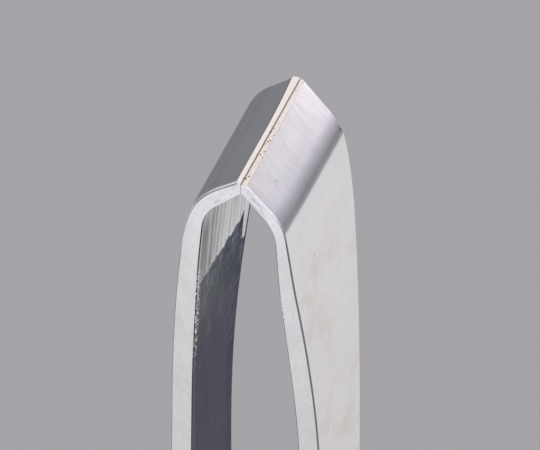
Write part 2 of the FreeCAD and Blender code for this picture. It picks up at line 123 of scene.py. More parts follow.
def along(pts, dists):
    """Points and directions at given distances along a dense line."""
    out, i, run = [], 0, 0.0
    seg = math.dist(pts[0], pts[1])
    for d in dists:
        while i < len(pts) - 2 and run + seg < d:
            run += seg
            i += 1
            seg = math.dist(pts[i], pts[i + 1])
        f = min(1.0, max(0.0, (d - run) / seg)) if seg > 0 else 0.0
        a, b = pts[i], pts[i + 1]
        out.append((a[0] + (b[0] - a[0]) * f, a[1] + (b[1] - a[1]) * f))
    return out


def at_height(pts, z, start):
    """Point of a dense falling line at height z, and its distance along the line."""
    i = start[0]
    while i < len(pts) - 2 and pts[i + 1][1] > z:
        start[1] += math.dist(pts[i], pts[i + 1])
        i += 1
    start[0] = i
    a, b = pts[i], pts[i + 1]
    f = (a[1] - z) / (a[1] - b[1])
    return (a[0] + (b[0] - a[0]) * f, z), start[1] + math.dist(a, b) * f


def face_points(p):
    """Matching stations of the outer and inner face, tip to heel: points and distances from the tip."""
    outer, zb, zo = face_chain(p, False)
    inner, _, zi = face_chain(p, True)
    zc = min(zo, zi) - 0.4                      # below here both faces are cut at the same heights
    res = []
    for pts in (outer, inner):
        _, total = at_height(pts, zc, [0, 0.0])
        steps = 64
        ds = [total * k / steps for k in range(steps + 1)]
        st, dist = along(pts, ds), list(ds)
        keep = [0, 0.0]
        z = zc
        while z > WELD + 1e-6:
            z -= 0.22 if z > 78 else (0.8 if z > 4.0 else 0.1)
            if z < WELD + 0.05:
                z = WELD
            q, d = at_height(pts, z, keep)
            st.append(q)
            dist.append(d)
        res += [st, dist]
    return res[0], res[1], res[2], res[3], zb


def half_table(z1, r_wa, waist):
    """(z, half width) pairs of one edge of the blade, from above the tip to the heel end."""
    w = JAW_W / 2
    out = [(120.0, w), (z1, w)]
    for k in range(1, 13):
        t = TAPER * k / 12
        out.append((z1 - R_SH * math.sin(t), w - R_SH * (1 - math.cos(t))))
    drop = (w - waist) - (R_SH + r_wa) * (1 - math.cos(TAPER))
    z2, h2 = out[-1]
    out.append((z2 - drop / math.tan(TAPER), h2 - drop))
    z4 = out[-1][0] - r_wa * math.sin(TAPER)
    for k in range(11, -1, -1):
        t = TAPER * k / 12
        out.append((z4 + r_wa * math.sin(t), waist + r_wa * (1 - math.cos(t))))
    dy, dz = HEEL - waist, z4 - HEEL_Z
    rf = (dy * dy + dz * dz) / (2 * dy)
    for k in range(1, 41):
        z = z4 - dz * k / 40
        out.append((z, waist + rf - math.sqrt(rf * rf - (z4 - z) ** 2)))
    out.append((HEEL_R, HEEL))
    for k in range(1, 25):
        a = (math.pi / 2) * k / 24
        out.append((HEEL_R - HEEL_R * math.sin(a), HEEL - HEEL_R + HEEL_R * math.cos(a)))
    return out


TABLES = {-1: half_table(NEAR_Z, *WAISTS[-1]), 1: half_table(NEAR_Z + RISE, *WAISTS[1])}


def half_at(side, z):
    t = TABLES[side]
    if z >= t[0][0]:
        return t[0][1]
    lo, hi = 0, len(t) - 1
    if z <= t[hi][0]:
        return t[hi][1]
    while hi - lo > 1:
        mid = (lo + hi) // 2
        if t[mid][0] >= z:
            lo = mid
        else:
            hi = mid
    (za, ha), (zb, hb) = t[lo], t[hi]
    return ha + (hb - ha) * (za - z) / max(1e-9, za - zb)


def edge_y(side, z, tau):
    y = side * half_at(side, z)
    for _ in range(12):
        y = side * half_at(side, z + y * tau)
    return y


# ----------------------------------------------------------------------------
# Blade mesh: one closed skin with rounded edges, ground land and contact face
# ----------------------------------------------------------------------------
OUTER, EDGE, BEVEL, LAND, INNER, TAILEND = range(6)
COLS = 40
ROUND = 4


def unit2(u, v):
    d = math.dist(u, v)
    return ((v[0] - u[0]) / d, (v[1] - u[1]) / d) if d > 1e-9 else None


def norm3(v):
    d = math.sqrt(v[0] ** 2 + v[1] ** 2 + v[2] ** 2)
    return (v[0] / d, v[1] / d, v[2] / d)


def build_blade(side):
    """Faces run round the profile (outer face up, land, contact face, inner face down) and across the width.
    Normals are worked out from the profile, so the flat faces stay flat up to their rounded edges."""
    p = SIDES[side]
    sg = p["sg"]
    outer, od, inner, idist, zb = face_points(p)
    n = len(outer)
    top = (p["tip"], p["tip_z"])
    prof, dist, runs = [], [], []                # runs: (first, last, kind) of each smooth stretch
    for i in range(n - 1, -1, -1):
        prof.append(outer[i])
        dist.append(od[i])
    runs.append((0, n - 1, OUTER))
    for k in range(1, 5):
        f = k / 4
        prof.append((outer[0][0] + (top[0] - outer[0][0]) * f, outer[0][1] + (top[1] - outer[0][1]) * f))
        dist.append(-p["land"] * f)
    runs.append((n - 1, len(prof) - 1, LAND))
    for k in range(1, 6):
        f = k / 5
        prof.append((top[0] + (inner[0][0] - top[0]) * f, top[1] + (inner[0][1] - top[1]) * f))
        dist.append(-p["land"] - 0.7 * f)
    base = len(prof) - 1
    runs.append((n + 3, base, LAND))
    dist[base] = 0.0
    for i in range(1, n):
        prof.append(inner[i])
        dist.append(idist[i])
    m = len(prof)
    runs.append((base, m - 1, INNER))

    def tau(z):
        return TAU * min(1.0, max(0.0, (z - zb) / (p["bz"] - zb)))

    # outward normals of each stretch (the profile is walked with the metal on its left)
    wall = {}
    for r, (i0, i1, kind) in enumerate(runs):
        for i in range(i0, i1 + 1):
            ts = [t for t in ((unit2(prof[i - 1], prof[i]) if i > i0 else None),
                              (unit2(prof[i], prof[i + 1]) if i < i1 else None)) if t]
            tx, tz = sum(t[0] for t in ts), sum(t[1] for t in ts)
            ln = math.hypot(tx, tz)
            wall[(r, i)] = (tz / ln, -tx / ln)
    run_of = []
    for i in range(m):
        mine = [r for r, (i0, i1, _) in enumerate(runs) if i0 <= i <= i1]
        run_of.append(mine)

    verts, uvs, rims, rows = [], [], [], []

    def vert(x, y, z, u, yn, yf, lean=0.0):
        if sg < 0:                               # the left land is even along most of its length
            shift = lean / p["skew"] * (-0.105 + 0.15 * min(1.0, max(0.0, y / 3.6)) ** 2)
        else:
            shift = lean * (y + 4.0)
        verts.append((x + shift, y, z))
        uvs.append((u / 10.0, y / 10.0))
        rims.append(((y - yn) / 10.0, (yf - y) / 10.0))
        return len(verts) - 1

    for i in range(m):
        x, z = prof[i]
        t = tau(z)
        ws = [wall[(r, i)] for r in run_of[i]]
        if len(ws) == 2:                         # mitre at a corner
            sx, sz = ws[0][0] + ws[1][0], ws[0][1] + ws[1][1]
            ln = math.hypot(sx, sz)
            k = max(0.5, (sx * ws[0][0] + sz * ws[0][1]) / ln)
            nx, nz = -sx / ln / k, -sz / ln / k
        else:
            nx, nz = -ws[0][0], -ws[0][1]
        if run_of[i][0] == 0:
            c = 0.06 + (0.07 if sg < 0 else 0.02) * min(1.0, max(0.0, (6.0 - dist[i]) / 2.5))
            if sg > 0:
                c += 0.03 * min(1.0, max(0.0, (dist[i] - 4.0) / 2.0))
            lean = p["skew"] * max(0.0, 1.0 - dist[i] / 3.2)
        else:
            c, lean = (0.055, 0.0) if i > base else (0.005, 0.0)
            if n <= i < n + 3:
                lean = p["skew"] * (n + 3 - i) / 4
        if i == n - 1:
            c = 0.09
        yn, yf = edge_y(-1, z, t), edge_y(1, z, t)
        d = max(0.0, dist[i])                    # the jaws are a touch narrower at their far edge
        if sg < 0:
            yf -= 0.07 + 0.10 * d if d < 1.0 else max(0.0, 0.17 * (4.5 - d) / 3.5)
        elif d < 4.5:
            yf -= 0.08 * d if d < 3.1 else 0.248 - 0.128 * min(1.0, (d - 3.1) / 0.3) - 0.12 * max(0.0, (d - 3.4) / 1.1)
        row = []
        for k in range(ROUND, 0, -1):
            a = math.pi / 2 * k / ROUND
            d, y = c * (1 - math.cos(a)), yn + c * (1 - math.sin(a))
            row.append(vert(x + nx * d, y, z + nz * d + y * t, dist[i], yn, yf, lean))
        for j in range(COLS + 1):
            y = (yn + c) + (yf - yn - 2 * c) * j / COLS
            row.append(vert(x, y, z + y * t, dist[i], yn, yf, lean))
        for k in range(1, ROUND + 1):
            a = math.pi / 2 * k / ROUND
            d, y = c * (1 - math.cos(a)), yf - c * (1 - math.sin(a))
            row.append(vert(x + nx * d, y, z + nz * d + y * t, dist[i], yn, yf, lean))
        rows.append(row)
    w = len(rows[0])

    def side_normal(s, z):
        slope = (half_at(s, z + 0.15) - half_at(s, z - 0.15)) / 0.3 if z > 3.2 else (
            math.sqrt(max(0.0, 1 - ((z - HEEL_R) / HEEL_R) ** 2)) and
            -(z - HEEL_R) / HEEL_R / max(0.05, math.sqrt(max(0.0, 1 - ((z - HEEL_R) / HEEL_R) ** 2))))
        return norm3((0.0, s, -slope))

    def wall_normal(r, i, y):
        nx, nz = wall[(r, i)]
        if sg > 0 and r == 0 and i < runs[0][1] and dist[i] < 8.0:
            # away from its near edge the bend sits a touch lower
            f = 1.2 * min(1.0, max(0.0, (y + 3.9) / 2.4))
            nx, nz = nx + (wall[(r, i + 1)][0] - nx) * f, nz + (wall[(r, i + 1)][1] - nz) * f
        return norm3((nx, -nz * tau(prof[i][1]), nz))

    def skin_normal(r, i, col):
        wn = wall_normal(r, i, verts[rows[i][col]][1])
        if ROUND <= col <= w - 1 - ROUND:
            return wn
        s = -1 if col < ROUND else 1
        k = ROUND - col if s < 0 else col - (w - 1 - ROUND)
        a = math.pi / 2 * k / ROUND
        if sg > 0 and s < 0 and r == 0 and dist[i] < 5.0:
            a = min(a, 0.6)
        sn = side_normal(s, verts[rows[i][col]][2])
        return norm3(tuple(math.sin(a) * sn[q] + math.cos(a) * wn[q] for q in range(3)))

    faces, mats, norms = [], [], []

    def face(idx, mat, nrm):
        if sg < 0:
            idx, nrm = tuple(reversed(idx)), list(reversed(nrm))
        faces.append(tuple(idx))
        mats.append(mat)
        norms.extend((sg * q[0], q[1], q[2]) for q in nrm)

    for r, (i0, i1, kind) in enumerate(runs):
        for i in range(i0, i1):
            for j in range(w - 1):
                corner = ((i, j), (i, j + 1), (i + 1, j + 1), (i + 1, j))
                rounded = j < ROUND or j >= w - 1 - ROUND
                lip = BEVEL
                if j < ROUND and i > n - 1:
                    lip = EDGE if i < base else INNER
                face([rows[a][b] for a, b in corner], lip if rounded else kind,
                     [skin_normal(r, a, b) for a, b in corner])
    mids = {}
    for s, col in ((-1, 0), (1, w - 1)):
        prev = None
        for i in range(n):
            o, q = rows[n - 1 - i][col], rows[base + i][col]
            po, pq = verts[o], verts[q]
            mid = []
            for f in (0.25, 0.5, 0.75):
                zz = po[2] + (pq[2] - po[2]) * f
                yy = s * half_at(s, zz)
                if i == 0 or (s > 0 and od[i] < 5.0):
                    yy = po[1] + (pq[1] - po[1]) * f
                verts.append((po[0] + (pq[0] - po[0]) * f, yy, zz))
                uvs.append((uvs[o][0] + (uvs[q][0] - uvs[o][0]) * f, uvs[o][1] + f * 0.128))
                rims.append((f * 0.128, (1 - f) * 0.128))
                mid.append(len(verts) - 1)
            cur = [o] + mid + [q]
            if prev is not None:
                for a in range(4):
                    f4 = (prev[a], prev[a + 1], cur[a + 1], cur[a])
                    if s > 0:
                        f4 = tuple(reversed(f4))
                    face(f4, EDGE, [side_normal(s, verts[v][2]) for v in f4])
            else:
                loop = [o] + [rows[k][col] for k in range(n, base)] + [q] + list(reversed(mid))
                if s > 0:
                    loop = list(reversed(loop))
                face(loop, EDGE, [side_normal(s, verts[v][2]) for v in loop])
            prev = cur
        mids[s] = prev[1:4]
    # heel end: rows m - 1 and 0 are joined, with the side strips' last points in between
    down = (0.0, 0.0, -1.0)
    for j in range(w - 1):
        idx = [rows[m - 1][j], rows[m - 1][j + 1]]
        if j == w - 2:
            idx += list(reversed(mids[1]))
        idx += [rows[0][j + 1], rows[0][j]]
        if j == 0:
            idx += list(mids[-1])
        face(idx, TAILEND, [down] * len(idx))
    verts = [(sg * v[0] * MM, v[1] * MM, v[2] * MM) for v in verts]
    return verts, faces, mats, uvs, rims, norms


def make_mesh(name, verts, faces, mats, uvs, rims, norms, materials):
    me = bpy.data.meshes.new(name)
    me.from_pydata(verts, [], faces)
    for mt in materials:
        me.materials.append(mt)
    me.polygons.foreach_set("material_index", mats)
    me.polygons.foreach_set("use_smooth", [True] * len(me.polygons))
    for title, table in (("blade", uvs), ("rim", rims)):
        layer = me.uv_layers.new(name=title)
        for li, loop in enumerate(me.loops):
            layer.data[li].uv = table[loop.vertex_index]
    me.update()
    me.normals_split_custom_set(norms)
    ob = bpy.data.objects.new(name, me)
    bpy.context.scene.collection.objects.link(ob)
    import bmesh
    bm = bmesh.new()
    bm.from_mesh(me)
    print(name, "faces", len(bm.faces), "open", sum(1 for e in bm.edges if not e.is_manifold),
          "volume", round(bm.calc_volume(signed=True) * 1e9, 1))
    bm.free()
    return ob


# ----------------------------------------------------------------------------
# Materials
# ----------------------------------------------------------------------------
def new_mat(name, color, metallic=1.0, rough=0.3):
    mt = bpy.data.materials.new(name)
    mt.use_nodes = True
    nt = mt.node_tree
    b = nt.nodes["Principled BSDF"]
    b.inputs["Base Color"].default_value = (*color, 1)
    b.inputs["Metallic"].default_value = metallic
    b.inputs["Roughness"].default_value = rough
    return mt, nt, b


class G:
    """Short hands for wiring nodes."""

    def __init__(self, nt):
        self.nt = nt

    def n(self, kind, **kw):
        nd = self.nt.nodes.new(kind)
        for k, v in kw.items():
            setattr(nd, k, v)
        return nd

    def link(self, a, b):
        self.nt.links.new(a, b)

    def uv(self, sx=1.0, sy=1.0, loc=(0, 0, 0), name="blade"):
        t = self.n("ShaderNodeUVMap", uv_map=name)
        mp = self.n("ShaderNodeMapping")
        mp.inputs["Scale"].default_value = (sx, sy, 1)
        mp.inputs["Location"].default_value = loc
        self.link(t.outputs["UV"], mp.inputs["Vector"])
        return mp.outputs["Vector"]

    def noise(self, vec, scale, detail=3.0, rough=0.5):
        nz = self.n("ShaderNodeTexNoise")
        nz.inputs["Scale"].default_value = scale
        nz.inputs["Detail"].default_value = detail
        nz.inputs["Roughness"].default_value = rough
        self.link(vec, nz.inputs["Vector"])
        return nz.outputs["Fac"]

    def ramp(self, fac, stops):
        r = self.n("ShaderNodeValToRGB")
        while len(r.color_ramp.elements) < len(stops):
            r.color_ramp.elements.new(0.5)
        for e, (pos, col) in zip(r.color_ramp.elements, stops):
            e.position = pos
            e.color = (*col, 1) if len(col) == 3 else col
        self.link(fac, r.inputs["Fac"])
        return r.outputs["Color"]

    def rng(self, fac, a, b, lo, hi, clamp=True):
        r = self.n("ShaderNodeMapRange", clamp=clamp)
        for k, v in zip(("From Min", "From Max", "To Min", "To Max"), (a, b, lo, hi)):
            r.inputs[k].default_value = v
        self.link(fac, r.inputs["Value"])
        return r.outputs["Result"]

    def math(self, op, a, b=None, c=None):
        m = self.n("ShaderNodeMath", operation=op)
        for k, v in enumerate((a, b, c)):
            if v is None:
                continue
            if isinstance(v, (int, float)):
                m.inputs[k].default_value = v
            else:
                self.link(v, m.inputs[k])
        return m.outputs[0]

    def mix(self, fac, a, b, blend="MIX"):
        m = self.n("ShaderNodeMix", data_type="RGBA", blend_type=blend)
        for sock, v in ((m.inputs[0], fac), (m.inputs[6], a), (m.inputs[7], b)):
            if isinstance(v, (int, float)):
                sock.default_value = v
            elif isinstance(v, tuple):
                sock.default_value = (*v, 1)
            else:
                self.link(v, sock)
        return m.outputs[2]

    def bump(self, height, strength, distance, normal=None):
        b = self.n("ShaderNodeBump")
        b.inputs["Strength"].default_value = strength
        b.inputs["Distance"].default_value = distance
        self.link(height, b.inputs["Height"])
        if normal is not None:
            self.link(normal, b.inputs["Normal"])
        return b.outputs["Normal"]

    def xy(self, vec):
        s = self.n("ShaderNodeSeparateXYZ")
        self.link(vec, s.inputs[0])
        return s.outputs[0], s.outputs[1]


def satin(name, color, rough, mottling=0.05, seed=0.0, warm=0.0, scratch=0.0, specks=0.0, strength=0.12, tone=None, frost=0.0, rim=1.0, bend=None):
    """Finely polished steel: cloudy colour, faint cross scratches, small specks of dust.
    tone, if given, takes the node hand and the colour so far and returns the colour."""
    mt, nt, b = new_mat(name, color, 1.0, rough)
    b.inputs["Specular Tint"].default_value = (rim, rim, rim, 1)
    g = G(nt)
    cloud = g.noise(g.uv(1, 1, (seed, 0, 0)), 5.0, 4.0, 0.6)
    fine = g.noise(g.uv(22, 160, (seed, 3, 0)), 1.6, 3.0, 0.6)
    c1 = tuple(v * (1 - mottling) for v in color)
    c2 = tuple(min(1.0, v * (1 + mottling * 0.6)) for v in color)
    base = g.mix(g.rng(cloud, 0.3, 0.7, 0, 1), c1, c2)
    if frost:
        fr = g.noise(g.uv(6, 9, (seed + 1, 2, 0)), 7.0, 5.0, 0.7)
        base = g.mix(g.rng(fr, 0.36, 0.58, frost, 0), base, tuple(c * 0.74 for c in color))
    if warm:
        stain = g.noise(g.uv(1.5, 2.0, (seed + 5, 1, 0)), 3.4, 6.0, 0.62)
        base = g.mix(g.rng(stain, 0.5, 0.72, 0, warm), base, (color[0] * 0.95, color[1] * 0.90, color[2] * 0.83))
    if scratch:
        mp = g.n("ShaderNodeMapping")
        mp.inputs["Rotation"].default_value = (0, 0, math.radians(33))
        mp.inputs["Scale"].default_value = (4, 60, 1)
        g.link(g.uv(1, 1, (seed, 7, 0)), mp.inputs["Vector"])
        sc = g.noise(mp.outputs["Vector"], 2.4, 2.0, 0.7)
        where = g.noise(g.uv(3, 3, (seed + 9, 2, 0)), 3.0, 3.0, 0.6)
        amount = g.math("MULTIPLY", g.rng(sc, 0.46, 0.70, 0, scratch), g.rng(where, 0.46, 0.60, 0, 1))
        base = g.mix(amount, base, tuple(c * 0.62 for c in color))
    if specks:
        vo = g.n("ShaderNodeTexVoronoi", feature="F1")
        vo.inputs["Scale"].default_value = 9.0
        g.link(g.uv(1, 1, (seed + 2, 5, 0)), vo.inputs["Vector"])
        dot = g.rng(vo.outputs["Distance"], 0.02, 0.065, 1, 0)
        pick = g.rng(g.noise(g.uv(1, 1, (seed + 4, 8, 0)), 9.0, 0.0, 0.5), 0.48, 0.54, 0, 1)
        dot = g.math("MULTIPLY", dot, pick)
        base = g.mix(g.math("MULTIPLY", dot, abs(specks)), base, (1.0, 0.99, 0.97) if specks > 0 else (0.16, 0.15, 0.15))
    if tone:
        base = tone(g, base)
    g.link(base, b.inputs["Base Color"])
    rv = g.math("ADD", g.rng(fine, 0.3, 0.7, rough * 0.85, rough * 1.15), g.rng(cloud, 0.3, 0.7, -0.02, 0.02))
    if bend:                                       # coarser polish round the bend
        u, v = g.xy(g.uv(10, 10))
        zone = g.math("MULTIPLY", g.rng(u, bend[0], bend[1], 0, 1), g.rng(u, bend[2], bend[3], 1, 0))
        rv = g.math("ADD", rv, g.math("MULTIPLY", zone, bend[4]))
    g.link(rv, b.inputs["Roughness"])
    g.link(g.bump(fine, strength, 0.000004), b.inputs["Normal"])
    return mt


def shade(g, base, amount, factor):
    """Darken or lighten a colour by a factor where amount is 1."""
    dim = g.mix(1.0, base, (factor[0], factor[1], factor[2]), "MULTIPLY")
    return g.mix(amount, base, dim)


def lift(g, base, amount, gain):
    """Raise a colour by a gain where amount is 1."""
    v = g.n("ShaderNodeVectorMath", operation="MULTIPLY")
    g.link(base, v.inputs[0])
    v.inputs[1].default_value = gain
    return g.mix(amount, base, v.outputs[0])


def left_tone(g, base):
    u, v = g.xy(g.uv(10, 10))
    # darker along the jaw face's tip edge next to the land, more so towards the far side
    tip_edge_dark = g.math("MULTIPLY", g.rng(u, 0.03, 0.09, 1, 0), g.rng(v, -2.5, 0.5, 0.15, 0.75))
    base = shade(g, base, tip_edge_dark, (0.25, 0.23, 0.25))
    for uu, vv, rad in ((1.55, -2.75, 0.055), (2.7, -2.9, 0.04), (1.9, 0.9, 0.05), (3.1, 1.9, 0.035), (0.9, -0.6, 0.03)):
        du, dv = g.math("SUBTRACT", u, uu), g.math("SUBTRACT", v, vv)
        dd = g.math("SQRT", g.math("ADD", g.math("MULTIPLY", du, du), g.math("MULTIPLY", dv, dv)))
        base = g.mix(g.rng(dd, rad * 0.4, rad, 1, 0), base, (1.0, 1.0, 1.0))
    return base


def right_tone(g, base):
    u, v = g.xy(g.uv(10, 10))
    jaw = g.rng(u, 2.2, 3.2, 1, 0)
    # painted light and shade: the jaw face is lightened towards its far edge and darkened towards its near edge
    far = g.math("POWER", g.rng(v, -1.0, 3.9, 0, 1), 2.2)
    base = lift(g, base, g.math("MULTIPLY", far, jaw), (1.29, 1.25, 1.27))
    near = g.math("MULTIPLY", g.rng(v, -3.9, 0.5, 1, 0), jaw)
    base = shade(g, base, near, (0.93, 0.93, 0.95))
    fuzz = g.rng(g.math("ADD", u, g.rng(g.noise(g.uv(20, 20, (3, 3, 0)), 6.0, 3.0, 0.6), 0.3, 0.7, -0.04, 0.04)), 0.0, 0.10, 0.55, 0)
    base = shade(g, base, fuzz, (0.78, 0.70, 0.70))
    # painted shade: a darker strip along the jaw face's near edge
    side = g.math("ADD", v, g.rng(g.noise(g.uv(5, 5, (2, 2, 0)), 4.0, 3.0, 0.6), 0.3, 0.7, -0.25, 0.25))
    base = shade(g, base, g.math("MULTIPLY", g.rng(side, -3.9, -3.2, 1, 0), jaw), (0.87, 0.87, 0.90))
    # painted shade: a darker, bluish band on the jaw leading down to the bend
    crease_shade = g.math("MULTIPLY", g.rng(u, 1.2, 2.2, 0, 1), g.rng(u, 2.2, 3.4, 1, 0))
    base = shade(g, base, crease_shade, (0.905, 0.90, 0.965))
    mp = g.n("ShaderNodeMapping", vector_type="TEXTURE")      # strokes of the belt across the jaw
    mp.inputs["Rotation"].default_value = (0, 0, math.radians(-3.0))
    mp.inputs["Scale"].default_value = (0.30, 0.085, 1)
    g.link(g.uv(1, 1, (3, 5, 0)), mp.inputs["Vector"])
    strokes = g.noise(mp.outputs["Vector"], 3.0, 4.0, 0.6)
    cloud = g.noise(g.uv(2.4, 1.8, (5, 3, 0)), 4.0, 3.0, 0.6)
    base = shade(g, base, g.math("MULTIPLY", g.rng(strokes, 0.36, 0.56, 0.8, 0), jaw), (0.965, 0.96, 0.965))
    base = lift(g, base, g.math("MULTIPLY", g.rng(strokes, 0.48, 0.66, 0, 0.9), jaw), (1.045, 1.045, 1.045))
    base = shade(g, base, g.math("MULTIPLY", g.rng(cloud, 0.36, 0.56, 0.8, 0), jaw), (0.965, 0.965, 0.97))
    # dark spot at the far end of the crease, and a faint one on the arm
    for uu, vv, rad, amt in ((3.18, 3.62, 0.22, 0.95), (6.99, -1.26, 0.15, 0.45), (1.36, -2.16, 0.10, 0.5), (1.30, -2.36, 0.06, 0.3)):
        du, dv = g.math("SUBTRACT", u, uu), g.math("SUBTRACT", v, vv)
        dd = g.math("SQRT", g.math("ADD", g.math("MULTIPLY", du, du), g.math("MULTIPLY", dv, dv)))
        base = shade(g, base, g.rng(dd, rad * 0.3, rad, amt, 0), (0.45, 0.45, 0.47))
    blot = g.noise(g.uv(1.5, 1.0, (8, 4, 0)), 3.0, 4.0, 0.6)
    blot = g.math("MULTIPLY", g.rng(blot, 0.50, 0.66, 0, 0.85), g.math("MULTIPLY", g.rng(u, 6, 8, 0, 1), g.rng(u, 22, 30, 1, 0)))
    base = shade(g, base, blot, (0.94, 0.885, 0.83))
    # painted shade: the arm darkens further from the jaw
    return shade(g, base, g.rng(u, 4, 22, 0, 1), (0.87, 0.865, 0.855))


def edge_tone(g, base):
    u, v = g.xy(g.uv(10, 10))
    # painted light: the near faces are lightened along the jaw
    base = lift(g, base, g.rng(u, 2.0, 5.0, 1, 0), (1.14, 1.135, 1.175))
    smudge = g.noise(g.uv(5, 12, (3, 7, 0)), 3.0, 5.0, 0.7)
    base = shade(g, base, g.math("MULTIPLY", g.rng(smudge, 0.50, 0.60, 0, 0.8), g.rng(u, 1.6, 2.8, 1, 0.0)), (0.72, 0.70, 0.74))
    grain = g.noise(g.uv(4, 10, (9, 7, 0)), 6.0, 5.0, 0.72)
    base = shade(g, base, g.rng(grain, 0.54, 0.66, 0, 0.45), (0.80, 0.80, 0.81))
    # painted shade: the near faces darken further down the arm
    return shade(g, base, g.rng(u, 5, 16, 0, 1), (0.90, 0.90, 0.895))


def edge_tone_right(g, base):
    base = edge_tone(g, base)
    u, v = g.xy(g.uv(10, 10))
    across, rest = g.xy(g.uv(10, 10, name="rim"))
    rub = g.noise(g.uv(3.5, 9, (6, 4, 0)), 6.0, 3.0, 0.6)
    spot = g.math("MULTIPLY", g.rng(g.math("ABSOLUTE", g.math("SUBTRACT", u, 1.05)), 0.32, 0.58, 1, 0),
                  g.rng(g.math("ABSOLUTE", g.math("SUBTRACT", across, 0.45)), 0.12, 0.32, 1, 0))
    return shade(g, base, g.math("MULTIPLY", spot, g.rng(rub, 0.44, 0.54, 0, 0.9)), (0.66, 0.66, 0.69))


def land_mat(name, land, pits, step):
    """Ground face with tiny grain and dark pits, thickest near the near corner; the warm cream colour is a painted
    reflection of warm light from above.
    """
    mt, nt, b = new_mat(name, (0.86, 0.78, 0.70), 1.0, 0.42)
    g = G(nt)
    u, v = g.xy(g.uv(10, 10))
    grain = g.noise(g.uv(60, 30), 6.0, 4.0, 0.7)
    # painted reflection: warm cream tones stand for warm light from above on the ground face
    base = g.mix(g.rng(grain, 0.3, 0.7, 0, 1), (0.83, 0.765, 0.71), (0.96, 0.915, 0.87))
    if step:                                       # the half next to the gap is whiter
        wob = g.rng(g.noise(g.uv(3, 3, (1, 9, 0)), 5.0, 3.0, 0.6), 0.3, 0.7, -0.03, 0.03)
        base = g.mix(g.rng(g.math("ADD", u, wob), -land * 0.62, -land * 0.45, 0.85, 0), base, (0.87, 0.84, 0.86))
    if pits:
        vo = g.n("ShaderNodeTexVoronoi", feature="F1")
        vo.inputs["Scale"].default_value = 56.0
        g.link(g.uv(1.0, 0.66), vo.inputs["Vector"])
        dot = g.rng(vo.outputs["Distance"], 0.17, 0.32, 1, 0)
        pick = g.noise(g.uv(1, 1, (4, 3, 0)), 60.0, 2.0, 0.6)
        thick = g.math("MULTIPLY", g.rng(v, -3.9, -3.0, 0.60, 0.70), g.rng(v, -0.3, 2.2, 1.0, 0.6))
        dot = g.math("MULTIPLY", dot, g.rng(g.math("SUBTRACT", g.math("ADD", pick, thick), 1.0), 0.0, 0.06, 0, 1))
        vo2 = g.n("ShaderNodeTexVoronoi", feature="F1")
        vo2.inputs["Scale"].default_value = 30.0
        g.link(g.uv(1.0, 0.7, (2.37, 1.13, 0)), vo2.inputs["Vector"])
        spot = g.math("MULTIPLY", g.rng(vo2.outputs["Distance"], 0.12, 0.24, 1, 0), g.math("MULTIPLY", g.rng(v, -3.8, -3.4, 0, 1), g.rng(v, 0.9, 1.4, 1, 0)))
        dot = g.math("MAXIMUM", dot, spot)
        base = g.mix(g.math("MULTIPLY", dot, pits), base, (0.15, 0.11, 0.10))
        # a reddish tint towards the near corner
        base = shade(g, base, g.rng(v, -3.6, 1.5, 0.7, 0), (0.97, 0.93, 0.91))
    top = -land - 0.15 if step else -land + 0.03   # thin painted shadow line in the gap where the two tips meet
    low = g.math("MULTIPLY", g.rng(u, top - 0.04, top, 1, 0), g.rng(u, top - 0.17, top - 0.12, 0, 1))
    base = g.mix(low, base, (0.075, 0.06, 0.06))
    g.link(base, b.inputs["Base Color"])
    g.link(g.bump(grain, 0.3, 0.00001), b.inputs["Normal"])
    return mt


